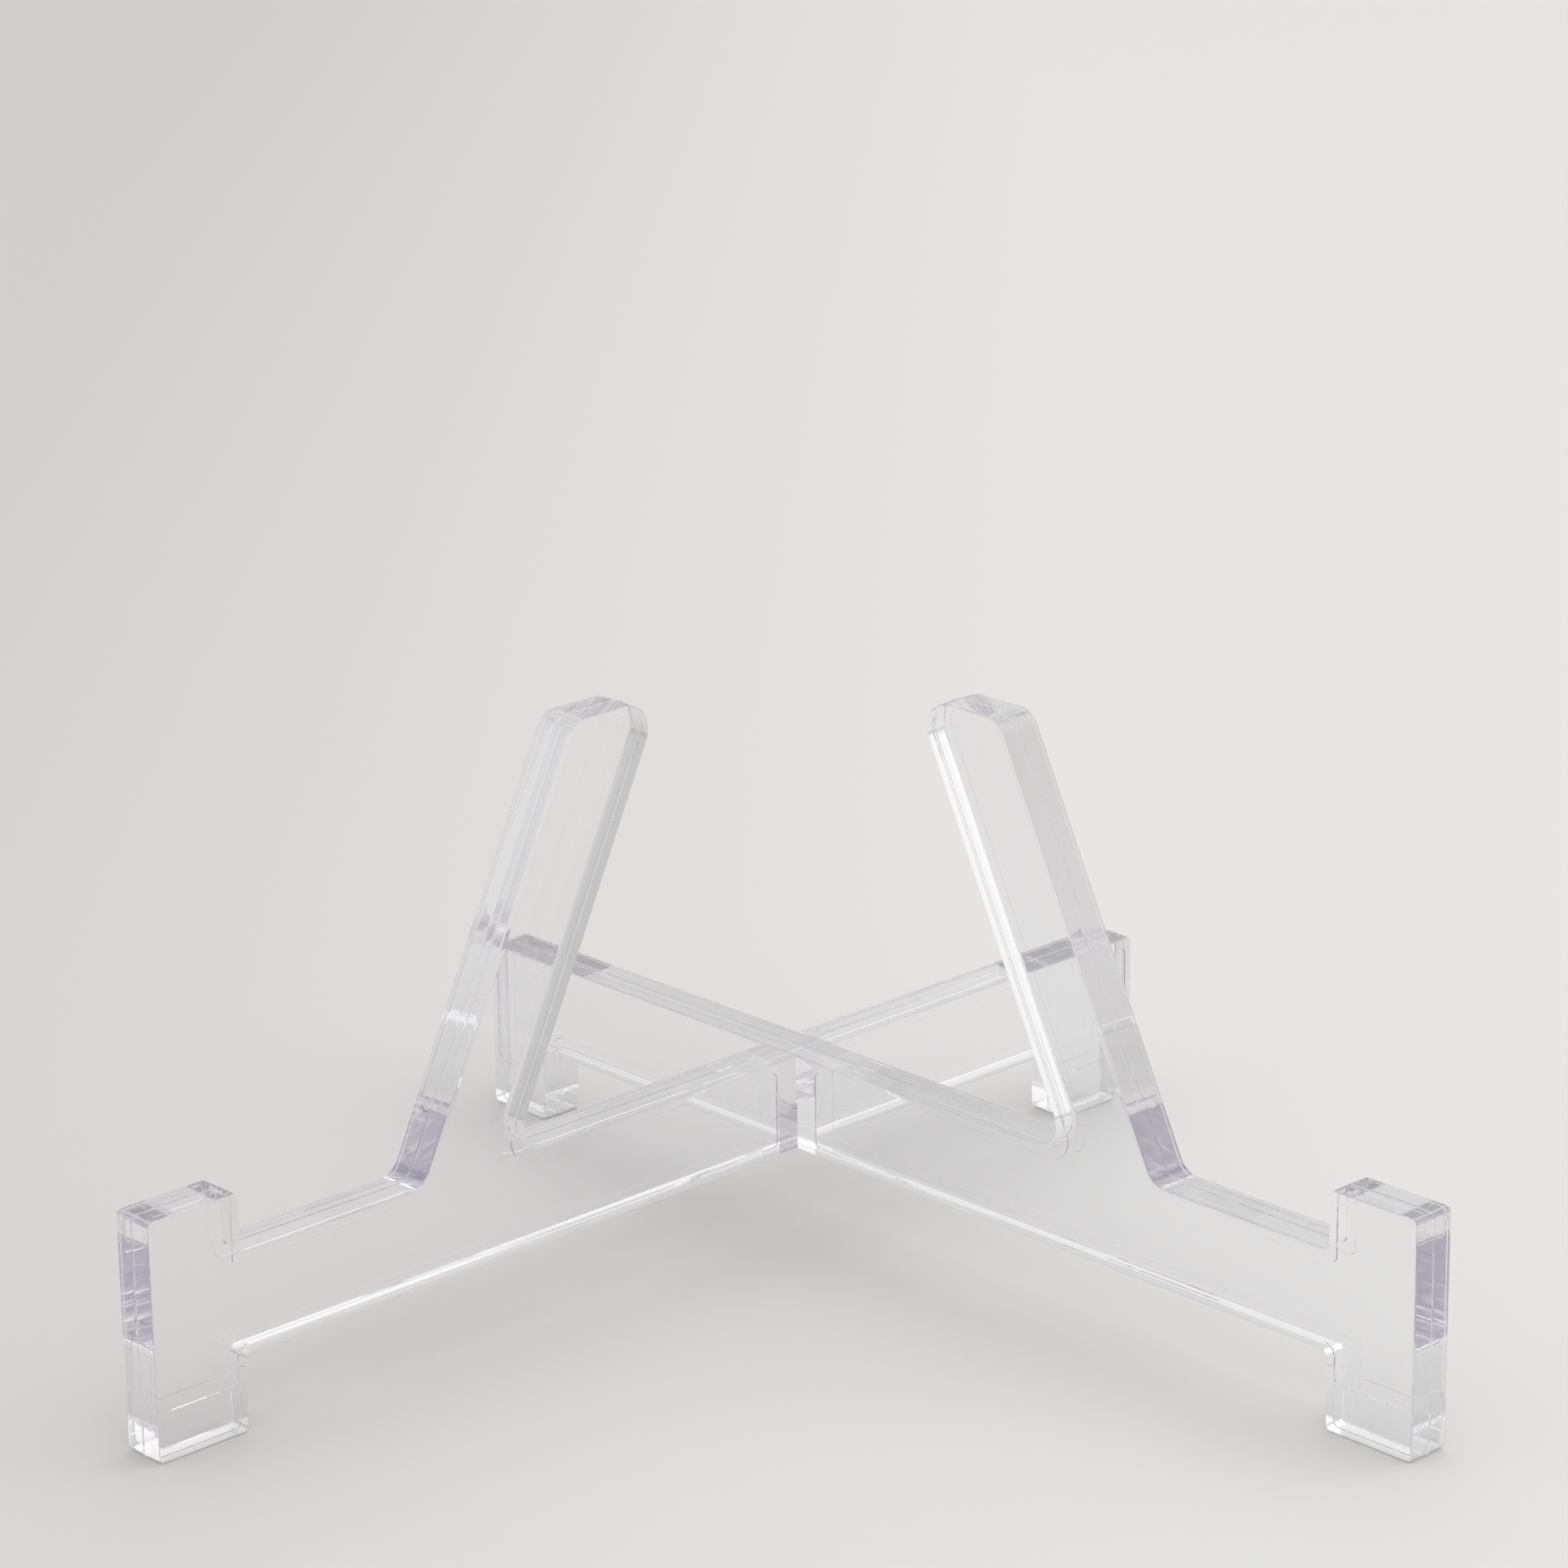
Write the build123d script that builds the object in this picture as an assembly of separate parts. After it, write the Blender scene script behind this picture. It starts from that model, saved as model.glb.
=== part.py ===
from build123d import *
import math
import os

# Clear moulded plate display stand: two flat halves that cross at right angles and
# slot together. Each half lies in a vertical plane through the crossing.
# Its outline is drawn with u, the distance from the crossing towards the front,
# and z, the height above the table. The front of the stand faces -Y.

# Driving dimensions, in millimetres and degrees.
thickness = 8.5
front_reach = 145.0        # crossing to the outer end of the front foot
rear_reach = 82.0          # crossing to the outer end of the rear foot
strip = 18.0               # width of the bar and the back rest
foot_length = 18.4         # front and rear feet, along the half
foot_top = 42.0            # top of the front foot, with the lug that stops the plate
bar_bottom = 13.6
bar_top = bar_bottom + strip
rest_start = 89.0          # where the back rest's front edge leaves the bar
rest_lean = 19.0           # lean of the plate, from the vertical, seen from the side
rest_top = 104.0
crossing_angle = 45.0      # each half to the stand's front plane

corner_radius = 1.2        # outer corners of the outline
notch_radius = 1.0         # inner corners beside the foot
root_radius = 4.0          # where the back rest grows out of the bar
tip_radius = 5.0           # corners at the top of the back rest
edge_radius = 0.35         # long edges of both flat faces
panel_depth = 0.15         # shallow panels sunk into both faces
panel_border = 2.0         # full-thickness rim left round each panel
panel_foot = 9.0           # each foot is full thickness up to this height
panel_gap = 9.0            # from the crossing to each panel
panel_corner = 1.2
panel_notch = 2.6          # panel corner above each foot's notch
draft = 1.0                # mould draft from the parting line to each face
lap_play = 0.15            # play on each side of the slot
lap_gap = 0.1              # gap left between the slot floors
cut_margin = 2.0           # how far cutting blocks reach past what they cut

lap_level = (bar_bottom + bar_top) / 2
draft_rise = math.tan(math.radians(draft)) * thickness / 2

# The plate sees the back rest's lean at an angle, so it is more in the half's own plane.
lean_run = math.tan(math.radians(rest_lean)) / math.sin(math.radians(crossing_angle))
rest_width = strip * math.hypot(1, lean_run)


front = front_reach
front_inner = front_reach - foot_length
rear = -rear_reach
rear_inner = foot_length - rear_reach


def rest_front(z):
    """Distance from the crossing to the back rest's front edge at a height."""
    return rest_start - (z - bar_top) * lean_run


def outline():
    """Corner points of a half, from the front foot's outer lower corner round to
    its top, each with the radius that rounds it. The feet start low by as much as
    the draft takes off their edges, and are cut flat at the table later."""
    sole = -draft_rise
    return [
        ((front, sole), corner_radius),
        ((front_inner, sole), corner_radius),
        ((front_inner, bar_bottom), notch_radius),
        ((rear_inner, bar_bottom), notch_radius),
        ((rear_inner, sole), corner_radius),
        ((rear, sole), corner_radius),
        ((rear, bar_top), corner_radius),
        ((rest_front(bar_top) - rest_width, bar_top), root_radius),
        ((rest_front(rest_top) - rest_width, rest_top), tip_radius),
        ((rest_front(rest_top), rest_top), tip_radius),
        ((rest_front(bar_top), bar_top), root_radius),
        ((front_inner, bar_top), notch_radius),
        ((front_inner, foot_top), corner_radius),
        ((front, foot_top), corner_radius),
    ]


def front_panel():
    """Corner points of the panel over the front foot, the bar and the back rest."""
    low = bar_bottom + panel_border
    high = bar_top - panel_border
    tip = rest_top - panel_border
    outer = front - panel_border
    inner = front_inner + panel_border
    narrowed = panel_border * math.hypot(1, lean_run)
    return [
        ((outer, panel_foot), panel_corner),
        ((inner, panel_foot), panel_corner),
        ((inner, low), panel_notch),
        ((panel_gap, low), panel_corner),
        ((panel_gap, high), panel_corner),
        ((rest_front(high) - rest_width + narrowed, high), root_radius),
        ((rest_front(tip) - rest_width + narrowed, tip), panel_notch),
        ((rest_front(tip) - narrowed, tip), panel_notch),
        ((rest_front(high) - narrowed, high), root_radius),
        ((inner, high), panel_corner),
        ((inner, foot_top - panel_border), panel_corner),
        ((outer, foot_top - panel_border), panel_corner),
    ]


def rear_panel():
    """Corner points of the panel over the rear arm and the rear foot."""
    low = bar_bottom + panel_border
    high = bar_top - panel_border
    outer = rear + panel_border
    inner = rear_inner - panel_border
    return [
        ((-panel_gap, low), panel_corner),
        ((inner, low), panel_notch),
        ((inner, panel_foot), panel_corner),
        ((outer, panel_foot), panel_corner),
        ((outer, high), panel_corner),
        ((-panel_gap, high), panel_corner),
    ]


def profile(corners):
    """A closed outline as a face in the XZ plane, u along X."""
    points = [point for point, radius in corners]
    radii = [radius for point, radius in corners]
    edges = FilletPolyline(*points, radius=radii, close=True)
    return make_face(Plane.XZ * edges)


def blank():
    """A half before its slot is cut, centred on the plane Y = 0."""
    face = profile(outline())
    ahead = extrude(face, amount=thickness / 2, dir=(0, -1, 0), taper=draft)
    behind = extrude(face, amount=thickness / 2, dir=(0, 1, 0), taper=draft)
    body = ahead + behind
    rims = body.edges().filter_by_position(Axis.Y, -thickness / 2, -thickness / 2)
    rims += body.edges().filter_by_position(Axis.Y, thickness / 2, thickness / 2)
    length = front_reach + rear_reach
    middle = (front_reach - rear_reach) / 2
    below_table = Pos(middle, 0, -cut_margin / 2) * Box(
        length + cut_margin, thickness + cut_margin, cut_margin
    )
    body = fillet(rims, edge_radius) - below_table
    for corners in (front_panel(), rear_panel()):
        panel = profile(corners)
        for side in (-1, 1):
            start = Pos(0, side * (thickness / 2 - panel_depth), 0) * panel
            body -= extrude(start, amount=cut_margin, dir=(0, side, 0))
    return body


def slot(opens_up):
    """The block that is cut from a half where the other one crosses it."""
    width = thickness + 2 * lap_play
    depth = strip / 2 + lap_gap / 2 + cut_margin
    rise = (depth - lap_gap) / 2
    middle = lap_level + rise if opens_up else lap_level - rise
    return Pos(0, 0, middle) * Box(width, thickness + cut_margin, depth)


lower = blank() - slot(opens_up=True)
upper = blank() - slot(opens_up=False)

# The lower half runs from front left to rear right, the upper from front right.
lower = Rot(0, 0, 180 + crossing_angle) * lower
upper = Rot(0, 0, -crossing_angle) * upper

# The origin is the middle of the stand's box, on the table.
box = (lower + upper).bounding_box()
shift = Pos(-(box.min.X + box.max.X) / 2, -(box.min.Y + box.max.Y) / 2, 0)

os.makedirs("parts", exist_ok=True)
export_step(shift * lower, "parts/lower_cross_half.step")
export_step(shift * upper, "parts/upper_cross_half.step")
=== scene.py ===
"""Looks for a clear plate display stand: two moulded halves that cross and slot together.

A half is a flat clear piece standing on edge. Its outline is drawn with u, the distance
from the crossing towards the front, and z, the height above the table; v runs across its
thickness. Lengths are in metres."""

import math

import bmesh
import bpy
from mathutils import Matrix, Vector


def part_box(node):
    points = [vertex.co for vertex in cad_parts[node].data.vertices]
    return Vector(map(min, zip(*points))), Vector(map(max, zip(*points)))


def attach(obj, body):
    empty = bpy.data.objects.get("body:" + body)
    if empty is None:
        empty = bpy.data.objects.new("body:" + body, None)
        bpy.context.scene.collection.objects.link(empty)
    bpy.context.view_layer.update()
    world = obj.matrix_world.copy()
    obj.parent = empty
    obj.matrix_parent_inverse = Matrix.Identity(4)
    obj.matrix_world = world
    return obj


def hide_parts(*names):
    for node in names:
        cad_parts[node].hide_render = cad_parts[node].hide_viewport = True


MM = 0.001

# Outline of a half. Its reaches, height and thickness come from the frame.
STRIP = 18.0 * MM              # width of the bar and the back rest
FOOT_LENGTH = 18.4 * MM
FOOT_TOP = 42.0 * MM           # top of the front foot's lug
BAR_BOTTOM = 13.6 * MM
BAR_TOP = BAR_BOTTOM + STRIP
REST_START = 89.0 * MM         # where the back rest's front edge leaves the bar
REST_LEAN = math.radians(19.0)
CORNER_RADIUS = 1.2 * MM
NOTCH_RADIUS = 1.0 * MM
ROOT_RADIUS = 4.0 * MM
TIP_RADIUS = 5.0 * MM
ARC_STEP = math.radians(9.0)   # turn from one point of a corner to the next

# Section across a half's thickness.
EDGE_RADIUS = 0.35 * MM
EDGE_STEPS = 6
RIM_FALL = 0.045 * MM          # the faces fall away a little just inside their edges
RIM_REACH = 0.6 * MM           # keeps the whole inset under the corner radius
RIM_CROWN = 0.7                # share of the fall made up half way across the rim
DRAFT = math.radians(1.0)
RIDGE_HEIGHT = 0.13 * MM       # bead that the mould's parting line left round the middle
RIDGE_REACH = 0.24 * MM
RIDGE_CROWN = (0.3, 0.7)       # shares of its height and reach where the bead steepens

# Shallow panels sunk into both faces, with a full-thickness rim round them.
PANEL_DEPTH = 0.15 * MM
PANEL_WALL = 0.12 * MM         # how far a panel's wall leans out over its depth
PANEL_BORDER = 2.0 * MM
PANEL_FOOT = 9.0 * MM          # each foot is full thickness up to this height
PANEL_GAP = 9.0 * MM           # from the crossing to each panel
PANEL_CORNER = 1.2 * MM
PANEL_NOTCH = 2.6 * MM         # panel corner above each foot's notch

# Half lap at the crossing.
LAP_PLAY = 0.15 * MM
LAP_GAP = 0.1 * MM
CUT_MARGIN = 2.0 * MM

SMOOTH_BELOW = math.radians(16.0)

# Each half: its CAD node, its body, the heading of its front, and whether its slot opens up.
HALVES = [
    ("lower_cross_half", "lower_half", math.radians(225.0), True),
    ("upper_cross_half", "upper_half", math.radians(-45.0), False),
]

# Clear plastic.
PLASTIC_COLOUR = (0.985, 0.985, 0.99, 1)
PLASTIC_IOR = 1.49
TINT_COLOUR = (0.66, 0.64, 0.74, 1)
TINT_DENSITY = 6.5             # per metre
SMEAR_SCALE = 90
SMEAR_ROUGHNESS = (0.02, 0.045)
SCUFF_HEIGHTS = (0.2 * MM, 1.2 * MM)
SCUFF_ROUGHNESS = (0.22, 0.0)  # at the first of those heights and at the second
GRIT_SCALE = 2600
HAIR_TURN = (0.35, 0.2, 0.8)
HAIR_STRETCH = (1.0, 24.0, 24.0)
HAIR_SCALE = 60
RIPPLE_SCALE = 45
RELIEF_STRENGTH = 0.01
RELIEF_HEIGHT = 0.02 * MM
RIPPLE_SHARE = 0.3             # of the relief's height
HAIR_SHARE = 0.2
SCUFF_SHARE = 40.0
BOUNCES = 80                   # light runs along a bar by many reflections inside it

# Floor.
FLOOR_RADIUS = 5.0
# The first floor colour is painted shade that darkens the floor towards the left; the second is
# the pale paper itself.
FLOOR_PAINTED_SHADE = (0.66, 0.65, 0.64, 1)
FLOOR_PALE = (0.82, 0.82, 0.815, 1)
FLOOR_PAINTED_SHADE_SPAN = (-0.25, 0.06)    # from shade at the first x to pale at the second
TOOTH_SCALE = 900
TOOTH_STRENGTH = 0.1
TOOTH_HEIGHT = 0.05 * MM

# Camera, placed from the crossing.
CAMERA_LENS = 121.03
CAMERA_SENSOR = 36.0
CAMERA_YAW = math.radians(1.741)
CAMERA_PITCH = math.radians(18.16)
CAMERA_ROLL = math.radians(-0.817)
CAMERA_OFFSET = Vector((-1.6, -867.7, 364.1)) * MM


def reach(node, direction):
    """Lowest and highest distance of a CAD node along a direction."""
    distances = [vertex.co.dot(direction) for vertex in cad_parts[node].data.vertices]
    return min(distances), max(distances)


def crossing_point():
    """Where the two halves cross, on the table. The lower half's box starts as far
    ahead of it as beside it, because the half runs at 45 degrees."""
    low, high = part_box("lower_cross_half")
    return Vector((0, low.y - low.x, 0))


def half_sizes(node, heading):
    """Front reach, rear reach, half thickness and height of a half, from the frame."""
    forward = Vector((math.cos(heading), math.sin(heading), 0))
    aside = Vector((-forward.y, forward.x, 0))
    centre = crossing_point().dot(forward)
    rear, front = reach(node, forward)
    left, right = reach(node, aside)
    return front - centre, centre - rear, (right - left) / 2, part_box(node)[1].z


class Shape:
    """Corners of the outline and panels of a half, each with the radius that rounds it,
    all clockwise with the front at the right."""

    def __init__(self, front, rear, top):
        self.front = front
        self.front_inner = front - FOOT_LENGTH
        self.rear = -rear
        self.rear_inner = FOOT_LENGTH - rear
        self.top = top
        self.lean = math.tan(REST_LEAN) / math.sin(math.radians(45))
        self.widening = math.hypot(1, self.lean)

    def rest_edge(self, height, setback):
        """How far ahead the back rest's front edge is at a height, or a line behind it."""
        return REST_START - (height - BAR_TOP) * self.lean - setback * self.widening

    def outline(self):
        return [
            ((self.front, 0), CORNER_RADIUS),
            ((self.front_inner, 0), CORNER_RADIUS),
            ((self.front_inner, BAR_BOTTOM), NOTCH_RADIUS),
            ((self.rear_inner, BAR_BOTTOM), NOTCH_RADIUS),
            ((self.rear_inner, 0), CORNER_RADIUS),
            ((self.rear, 0), CORNER_RADIUS),
            ((self.rear, BAR_TOP), CORNER_RADIUS),
            ((self.rest_edge(BAR_TOP, STRIP), BAR_TOP), ROOT_RADIUS),
            ((self.rest_edge(self.top, STRIP), self.top), TIP_RADIUS),
            ((self.rest_edge(self.top, 0), self.top), TIP_RADIUS),
            ((self.rest_edge(BAR_TOP, 0), BAR_TOP), ROOT_RADIUS),
            ((self.front_inner, BAR_TOP), NOTCH_RADIUS),
            ((self.front_inner, FOOT_TOP), CORNER_RADIUS),
            ((self.front, FOOT_TOP), CORNER_RADIUS),
        ]

    def front_panel(self):
        """The panel over the front foot, the bar and the back rest."""
        low, high = BAR_BOTTOM + PANEL_BORDER, BAR_TOP - PANEL_BORDER
        tip = self.top - PANEL_BORDER
        outer, inner = self.front - PANEL_BORDER, self.front_inner + PANEL_BORDER
        behind = STRIP - PANEL_BORDER
        return [
            ((outer, PANEL_FOOT), PANEL_CORNER),
            ((inner, PANEL_FOOT), PANEL_CORNER),
            ((inner, low), PANEL_NOTCH),
            ((PANEL_GAP, low), PANEL_CORNER),
            ((PANEL_GAP, high), PANEL_CORNER),
            ((self.rest_edge(high, behind), high), ROOT_RADIUS),
            ((self.rest_edge(tip, behind), tip), PANEL_NOTCH),
            ((self.rest_edge(tip, PANEL_BORDER), tip), PANEL_NOTCH),
            ((self.rest_edge(high, PANEL_BORDER), high), ROOT_RADIUS),
            ((inner, high), PANEL_CORNER),
            ((inner, FOOT_TOP - PANEL_BORDER), PANEL_CORNER),
            ((outer, FOOT_TOP - PANEL_BORDER), PANEL_CORNER),
        ]

    def rear_panel(self):
        """The panel over the rear arm and the rear foot."""
        low, high = BAR_BOTTOM + PANEL_BORDER, BAR_TOP - PANEL_BORDER
        outer, inner = self.rear + PANEL_BORDER, self.rear_inner - PANEL_BORDER
        return [
            ((-PANEL_GAP, low), PANEL_CORNER),
            ((inner, low), PANEL_NOTCH),
            ((inner, PANEL_FOOT), PANEL_CORNER),
            ((outer, PANEL_FOOT), PANEL_CORNER),
            ((outer, high), PANEL_CORNER),
            ((-PANEL_GAP, high), PANEL_CORNER),
        ]


def rounded(corners):
    """Points and outward normals along an outline whose corners are rounded with arcs."""
    samples = []
    count = len(corners)
    for index, (corner, radius) in enumerate(corners):
        corner = Vector(corner)
        ahead = (corner - Vector(corners[index - 1][0])).normalized()
        onward = (Vector(corners[(index + 1) % count][0]) - corner).normalized()
        normal = Vector((-ahead.y, ahead.x))
        turn = math.atan2(ahead.cross(onward), ahead.dot(onward))
        outward = -1 if turn > 0 else 1
        run = radius * math.tan(abs(turn) / 2)
        centre = corner - ahead * run - normal * radius * outward
        steps = max(2, round(abs(turn) / ARC_STEP))
        for step in range(steps + 1):
            facing = normal.copy()
            facing.rotate(Matrix.Rotation(turn * step / steps, 2))
            samples.append((centre + facing * radius * outward, facing))
    return samples


def section(half_thickness):
    """Inset and height of the rings from the parting line to the rim of a flat face."""
    level = half_thickness - RIM_FALL
    middle = level - EDGE_RADIUS
    centre = RIDGE_HEIGHT + middle * math.tan(DRAFT) + EDGE_RADIUS / math.cos(DRAFT)
    crown_height, crown_reach = RIDGE_CROWN
    rings = [
        (0.0, 0.0),
        (crown_height * RIDGE_HEIGHT, crown_reach * RIDGE_REACH),
        (RIDGE_HEIGHT, RIDGE_REACH),
    ]
    for step in range(EDGE_STEPS + 1):
        turn = DRAFT + (math.pi / 2 - DRAFT) * step / EDGE_STEPS
        inset = centre - EDGE_RADIUS * math.cos(turn)
        rings.append((inset, middle + EDGE_RADIUS * math.sin(turn)))
    rings.append((centre + RIM_REACH / 2, level + RIM_CROWN * RIM_FALL))
    rings.append((centre + RIM_REACH, half_thickness))
    return rings


def ring_of(mesh, samples, inset, side):
    """The vertices of an outline drawn in by an inset, at one place across the thickness."""
    ring = []
    for point, normal in samples:
        place = point - normal * inset
        ring.append(mesh.verts.new((place.x, side, place.y)))
    return ring


def bridge(mesh, ring, other):
    """Faces between two rings of as many vertices."""
    for index, vertex in enumerate(ring):
        follower = (index + 1) % len(ring)
        mesh.faces.new((vertex, ring[follower], other[follower], other[index]))


def half_mesh(name, samples, rings):
    """A closed mesh of a half, in its own u, v and z. It stands on its parting line."""
    mesh = bmesh.new()
    parting = ring_of(mesh, samples, *rings[0])
    for direction in (1, -1):
        inner = parting
        for inset, height in rings[1:]:
            outer = ring_of(mesh, samples, inset, height * direction)
            bridge(mesh, inner, outer)
            inner = outer
        mesh.faces.new(inner)
    bmesh.ops.recalc_face_normals(mesh, faces=mesh.faces)
    data = bpy.data.meshes.new(name)
    mesh.to_mesh(data)
    mesh.free()
    return data


def panel_cutter(corners, half_thickness, side):
    """The shape cut from a face for a shallow panel with leaning walls."""
    samples = rounded(corners)
    mesh = bmesh.new()
    floor = ring_of(mesh, samples, 0.0, side * (half_thickness - PANEL_DEPTH))
    above = ring_of(mesh, samples, -2 * PANEL_WALL, side * (half_thickness + PANEL_DEPTH))
    bridge(mesh, floor, above)
    mesh.faces.new(floor)
    mesh.faces.new(above)
    bmesh.ops.recalc_face_normals(mesh, faces=mesh.faces)
    return mesh


def slot_cutter(half_thickness, opens_up):
    """The block cut from a half where the other one crosses it."""
    level = (BAR_BOTTOM + BAR_TOP) / 2
    depth = STRIP / 2 + LAP_GAP / 2 + CUT_MARGIN
    rise = (depth - LAP_GAP) / 2
    size = Vector((2 * (half_thickness + LAP_PLAY), 2 * half_thickness + CUT_MARGIN, depth))
    middle = Vector((0, 0, level + rise if opens_up else level - rise))
    mesh = bmesh.new()
    bmesh.ops.create_cube(mesh, size=1)
    bmesh.ops.scale(mesh, vec=size, verts=mesh.verts)
    bmesh.ops.translate(mesh, vec=middle, verts=mesh.verts)
    return mesh


def cut(piece, cutter):
    """Takes a closed shape out of a piece."""
    data = bpy.data.meshes.new("cutter")
    cutter.to_mesh(data)
    cutter.free()
    tool = bpy.data.objects.new("cutter", data)
    bpy.context.scene.collection.objects.link(tool)
    modifier = piece.modifiers.new("cut", "BOOLEAN")
    modifier.operation = "DIFFERENCE"
    modifier.solver = "EXACT"
    modifier.object = tool
    keep_evaluated(piece)
    bpy.data.objects.remove(tool)
    bpy.data.meshes.remove(data)


def keep_evaluated(piece):
    """Applies a piece's modifiers to its mesh."""
    graph = bpy.context.evaluated_depsgraph_get()
    graph.update()
    data = bpy.data.meshes.new_from_object(piece.evaluated_get(graph))
    piece.modifiers.clear()
    piece.data = data


def smooth(piece):
    """Rounds look round and flat faces stay flat."""
    piece.data.polygons.foreach_set("use_smooth", [True] * len(piece.data.polygons))
    piece.data.set_sharp_from_angle(angle=SMOOTH_BELOW)
    modifier = piece.modifiers.new("normals", "WEIGHTED_NORMAL")
    modifier.weight = 100
    modifier.keep_sharp = True
    keep_evaluated(piece)


def make_half(node, body, heading, opens_up, material):
    """One half, in place at the crossing, standing for its CAD node."""
    front, rear, half_thickness, top = half_sizes(node, heading)
    shape = Shape(front, rear, top)
    data = half_mesh(node + "_clear", rounded(shape.outline()), section(half_thickness))
    piece = bpy.data.objects.new(node + "_clear", data)
    bpy.context.scene.collection.objects.link(piece)
    cut(piece, slot_cutter(half_thickness, opens_up))
    for corners in (shape.front_panel(), shape.rear_panel()):
        for side in (1, -1):
            cut(piece, panel_cutter(corners, half_thickness, side))
    smooth(piece)
    piece.data.transform(Matrix.Translation(crossing_point()) @ Matrix.Rotation(heading, 4, "Z"))
    piece.data.materials.clear()
    piece.data.materials.append(material)
    piece.data.name = node + "_clear"
    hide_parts(node)
    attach(piece, body)


class Nodes:
    """Short calls to add and join the nodes of one tree."""

    def __init__(self, tree):
        self.tree = tree

    def add(self, kind, **values):
        node = self.tree.nodes.new(kind)
        for name, value in values.items():
            setattr(node, name, value)
        return node

    def join(self, output, target):
        self.tree.links.new(output, target)

    def noise(self, vector, scale, detail=2.0, roughness=0.5):
        node = self.add("ShaderNodeTexNoise")
        node.inputs["Scale"].default_value = scale
        node.inputs["Detail"].default_value = detail
        node.inputs["Roughness"].default_value = roughness
        self.join(vector, node.inputs["Vector"])
        return node.outputs["Fac"]

    def spread(self, value, source, target=(0.0, 1.0)):
        """Maps a value's range onto another, held at both ends."""
        node = self.add("ShaderNodeMapRange")
        for name, number in zip(("From Min", "From Max", "To Min", "To Max"), source + target):
            node.inputs[name].default_value = number
        self.join(value, node.inputs["Value"])
        return node.outputs["Result"]

    def maths(self, operation, first, second):
        node = self.add("ShaderNodeMath", operation=operation)
        self.join(first, node.inputs[0])
        if isinstance(second, (int, float)):
            node.inputs[1].default_value = second
        else:
            self.join(second, node.inputs[1])
        return node.outputs["Value"]


def fresh_material(name):
    """A material with an empty node tree, and its output node."""
    material = bpy.data.materials.new(name)
    material.use_nodes = True
    material.node_tree.nodes.clear()
    nodes = Nodes(material.node_tree)
    return material, nodes, nodes.add("ShaderNodeOutputMaterial")


def wear(nodes, place):
    """Roughness of the surface, and the scuffs near the table that are part of it."""
    height = nodes.add("ShaderNodeSeparateXYZ")
    nodes.join(place, height.inputs["Vector"])
    smears = nodes.spread(nodes.noise(place, SMEAR_SCALE, 3), (0.5, 0.75), SMEAR_ROUGHNESS)
    scuffs = nodes.spread(height.outputs["Z"], SCUFF_HEIGHTS, SCUFF_ROUGHNESS)
    grit = nodes.spread(nodes.noise(place, GRIT_SCALE, 2), (0.35, 0.7), (0.3, 1.0))
    worn = nodes.maths("MULTIPLY", scuffs, grit)
    return nodes.maths("ADD", smears, worn), worn


def relief(nodes, place, worn):
    """Normal of the surface, from its slow ripple, hairline scratches and scuffs."""
    stretch = nodes.add("ShaderNodeMapping")
    stretch.inputs["Rotation"].default_value = HAIR_TURN
    stretch.inputs["Scale"].default_value = HAIR_STRETCH
    nodes.join(place, stretch.inputs["Vector"])
    hairs = nodes.spread(nodes.noise(stretch.outputs["Vector"], HAIR_SCALE, 2, 0.4), (0.66, 0.72))
    hairs = nodes.maths("MULTIPLY", hairs, HAIR_SHARE)
    ripple = nodes.maths("MULTIPLY", nodes.noise(place, RIPPLE_SCALE, 1), RIPPLE_SHARE)
    scuffs = nodes.maths("MULTIPLY", worn, SCUFF_SHARE)
    bump = nodes.add("ShaderNodeBump")
    bump.inputs["Strength"].default_value = RELIEF_STRENGTH
    bump.inputs["Distance"].default_value = RELIEF_HEIGHT
    height = nodes.maths("ADD", scuffs, nodes.maths("SUBTRACT", ripple, hairs))
    nodes.join(height, bump.inputs["Height"])
    return bump.outputs["Normal"]


def clear_plastic():
    """Clear moulded plastic with a faint violet tint in its depth, faint smears and
    hairline scratches on its faces, and soles scuffed by the table."""
    material, nodes, output = fresh_material("clear_plastic")
    place = nodes.add("ShaderNodeTexCoord").outputs["Object"]
    shader = nodes.add("ShaderNodeBsdfPrincipled")
    shader.inputs["Base Color"].default_value = PLASTIC_COLOUR
    shader.inputs["Transmission Weight"].default_value = 1.0
    shader.inputs["IOR"].default_value = PLASTIC_IOR
    roughness, worn = wear(nodes, place)
    nodes.join(roughness, shader.inputs["Roughness"])
    nodes.join(relief(nodes, place, worn), shader.inputs["Normal"])

    depth = nodes.add("ShaderNodeVolumeAbsorption")
    depth.inputs["Color"].default_value = TINT_COLOUR
    depth.inputs["Density"].default_value = TINT_DENSITY
    nodes.join(shader.outputs["BSDF"], output.inputs["Surface"])
    nodes.join(depth.outputs["Volume"], output.inputs["Volume"])
    return material


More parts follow.
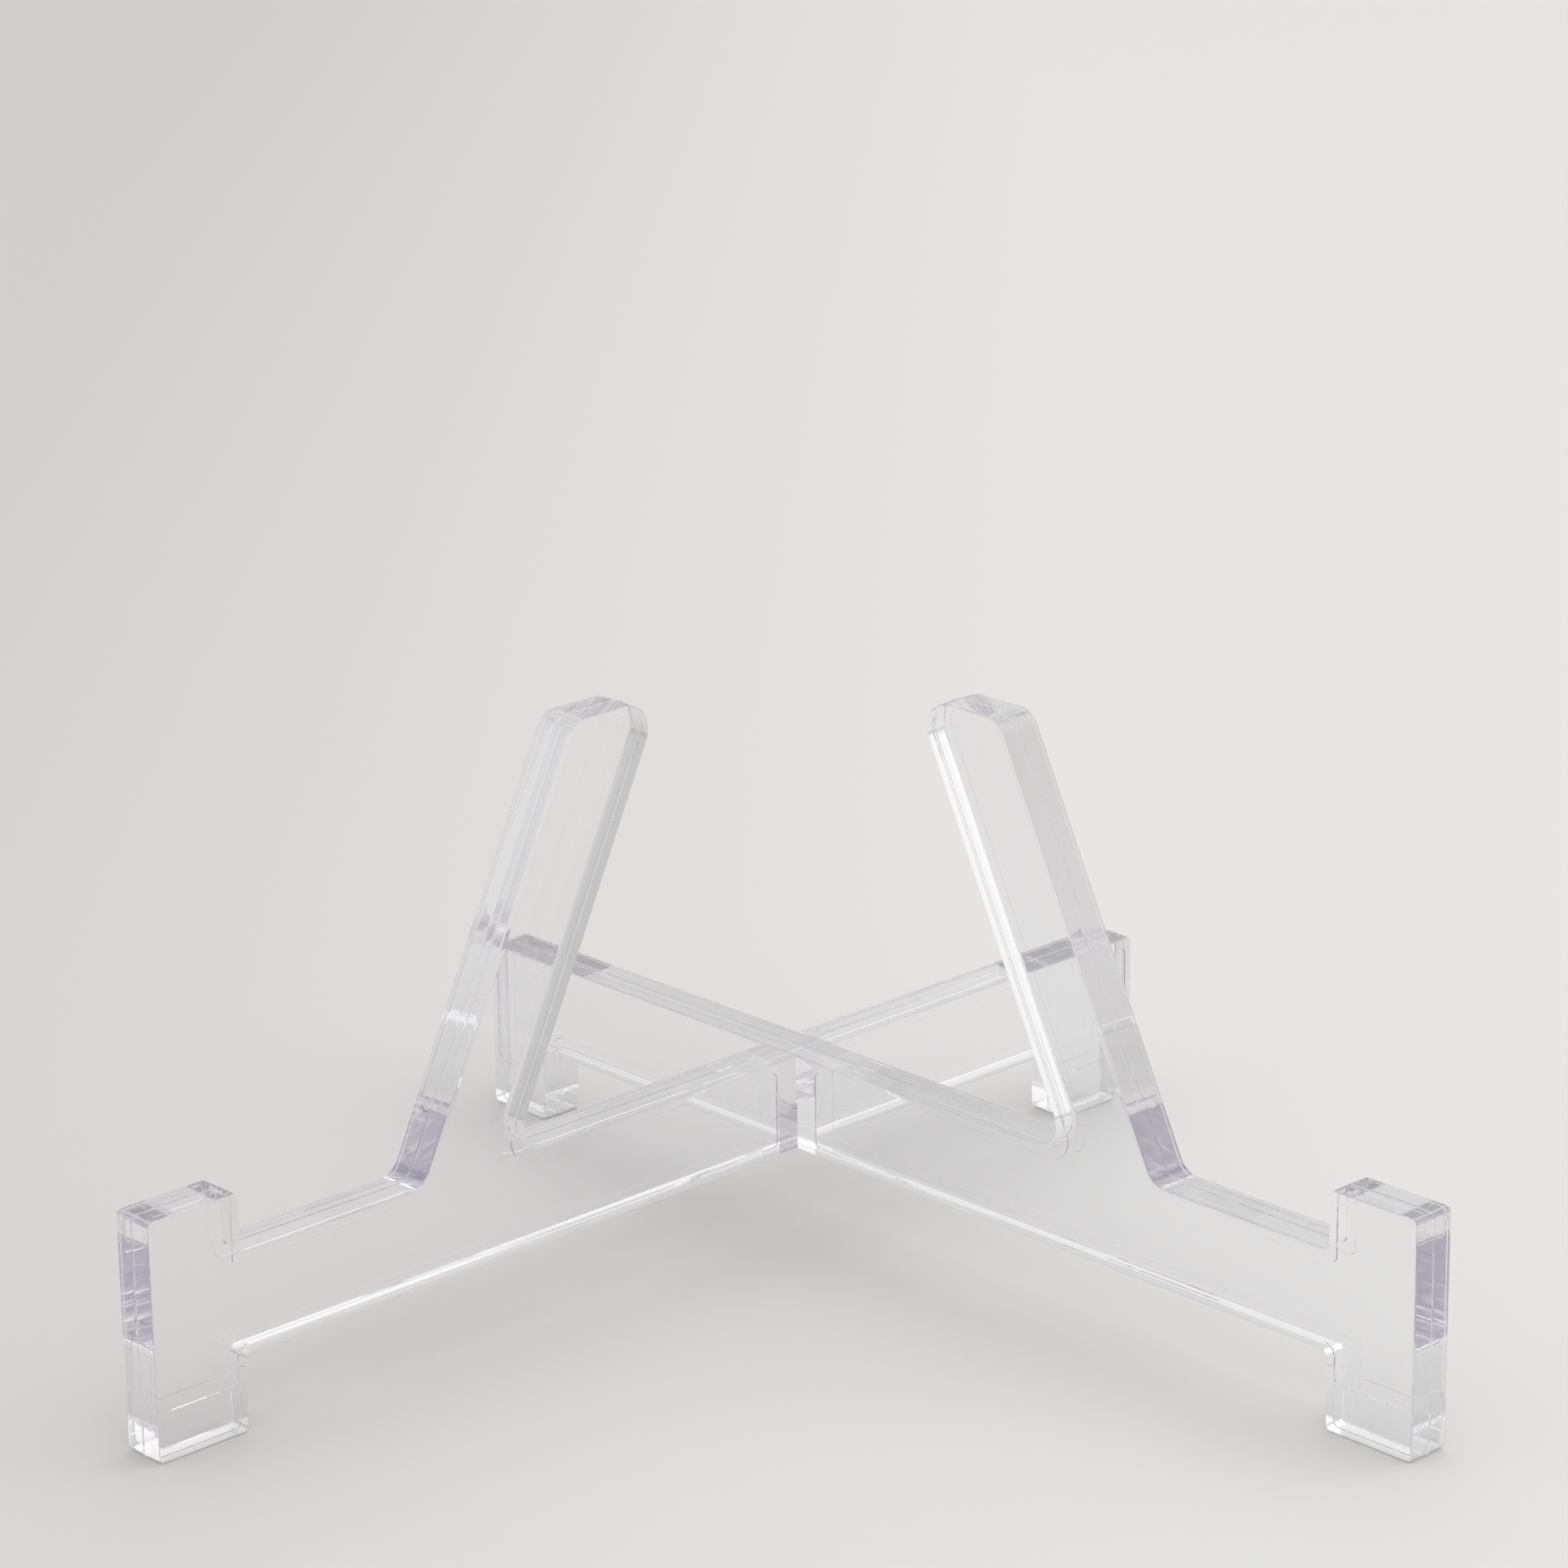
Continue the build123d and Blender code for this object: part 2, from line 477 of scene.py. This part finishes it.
def floor_paper():
    """Plain pale paper with a very fine tooth, and painted shade that greys its colour towards
    the left.
    """
    material, nodes, output = fresh_material("floor_paper")
    place = nodes.add("ShaderNodeTexCoord").outputs["Object"]
    shader = nodes.add("ShaderNodeBsdfPrincipled")
    across = nodes.add("ShaderNodeSeparateXYZ")
    nodes.join(place, across.inputs["Vector"])
    # Painted shade: the base colour fades from grey on the left to the pale paper on the right.
    painted_shade = nodes.add("ShaderNodeMix", data_type="RGBA")
    painted_shade.inputs["A"].default_value = FLOOR_PAINTED_SHADE
    painted_shade.inputs["B"].default_value = FLOOR_PALE
    nodes.join(nodes.spread(across.outputs["X"], FLOOR_PAINTED_SHADE_SPAN), painted_shade.inputs["Factor"])
    nodes.join(painted_shade.outputs["Result"], shader.inputs["Base Color"])
    shader.inputs["Roughness"].default_value = 0.75
    bump = nodes.add("ShaderNodeBump")
    bump.inputs["Strength"].default_value = TOOTH_STRENGTH
    bump.inputs["Distance"].default_value = TOOTH_HEIGHT
    nodes.join(nodes.noise(place, TOOTH_SCALE, 3), bump.inputs["Height"])
    nodes.join(bump.outputs["Normal"], shader.inputs["Normal"])
    nodes.join(shader.outputs["BSDF"], output.inputs["Surface"])
    return material


def make_floor():
    """A wide pale disc that the stand stands on."""
    mesh = bmesh.new()
    bmesh.ops.create_circle(mesh, cap_ends=True, segments=96, radius=FLOOR_RADIUS)
    data = bpy.data.meshes.new("floor")
    mesh.to_mesh(data)
    mesh.free()
    floor = bpy.data.objects.new("floor", data)
    bpy.context.scene.collection.objects.link(floor)
    floor.data.materials.append(floor_paper())


def make_world():
    """A soft pale room, brighter overhead and to the right."""
    world = bpy.data.worlds.new("studio")
    bpy.context.scene.world = world
    world.use_nodes = True
    world.node_tree.nodes.clear()
    nodes = Nodes(world.node_tree)
    background = nodes.add("ShaderNodeBackground")
    direction = nodes.add("ShaderNodeSeparateXYZ")
    nodes.join(nodes.add("ShaderNodeTexCoord").outputs["Generated"], direction.inputs["Vector"])
    upward = nodes.spread(direction.outputs["Z"], (0.1, 0.8), (0.64, 1.08))
    sideways = nodes.spread(direction.outputs["X"], (-0.8, 0.8), (0.76, 1.06))
    nodes.join(nodes.maths("MULTIPLY", upward, sideways), background.inputs["Strength"])
    background.inputs["Color"].default_value = (1.0, 0.99, 0.98, 1)
    output = nodes.add("ShaderNodeOutputWorld")
    nodes.join(background.outputs["Background"], output.inputs["Surface"])


def area_light(name, place, size, power, colour):
    """A soft square light aimed at the stand."""
    data = bpy.data.lights.new(name, "AREA")
    data.shape = "SQUARE"
    data.size = size
    data.energy = power
    data.color = colour
    light = bpy.data.objects.new(name, data)
    light.location = place
    light.rotation_euler = (-Vector(place)).to_track_quat("-Z", "Y").to_euler()
    bpy.context.scene.collection.objects.link(light)


def make_lights():
    """Wide, weak lights that shade the floor without hard glints in the plastic."""
    area_light("key_right", (1.1, -0.1, 1.1), 2.2, 3.0, (1.0, 0.99, 0.97))
    area_light("overhead", (0.4, 1.1, 1.6), 2.4, 1.5, (1.0, 1.0, 1.0))
    area_light("fill_left", (-1.2, -0.7, 1.0), 0.8, 0.6, (0.97, 0.98, 1.0))


def make_camera():
    """The camera, at the photographed viewing angle."""
    data = bpy.data.cameras.new("viewpoint")
    data.lens = CAMERA_LENS
    data.sensor_width = CAMERA_SENSOR
    data.clip_start = 0.05
    camera = bpy.data.objects.new("viewpoint", data)
    yaw = Matrix.Rotation(CAMERA_YAW, 4, "Z")
    pitch = Matrix.Rotation(math.pi / 2 - CAMERA_PITCH, 4, "X")
    roll = Matrix.Rotation(CAMERA_ROLL, 4, "Z")
    place = Matrix.Translation(crossing_point() + yaw @ CAMERA_OFFSET)
    camera.matrix_world = place @ yaw @ pitch @ roll
    bpy.context.scene.collection.objects.link(camera)
    bpy.context.scene.camera = camera


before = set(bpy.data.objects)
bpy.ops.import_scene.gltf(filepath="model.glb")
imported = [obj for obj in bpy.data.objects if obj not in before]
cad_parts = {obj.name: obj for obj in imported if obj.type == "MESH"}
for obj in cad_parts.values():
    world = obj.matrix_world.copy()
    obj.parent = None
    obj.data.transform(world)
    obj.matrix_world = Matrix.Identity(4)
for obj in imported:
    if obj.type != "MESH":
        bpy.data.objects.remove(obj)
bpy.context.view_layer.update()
scene = bpy.context.scene
scene.view_settings.view_transform = "Standard"
scene.cycles.use_denoising = True
scene.cycles.max_bounces = BOUNCES
scene.cycles.transmission_bounces = BOUNCES
scene.cycles.glossy_bounces = BOUNCES

make_camera()
plastic = clear_plastic()
for half in HALVES:
    make_half(*half, plastic)
make_floor()
make_world()
make_lights()
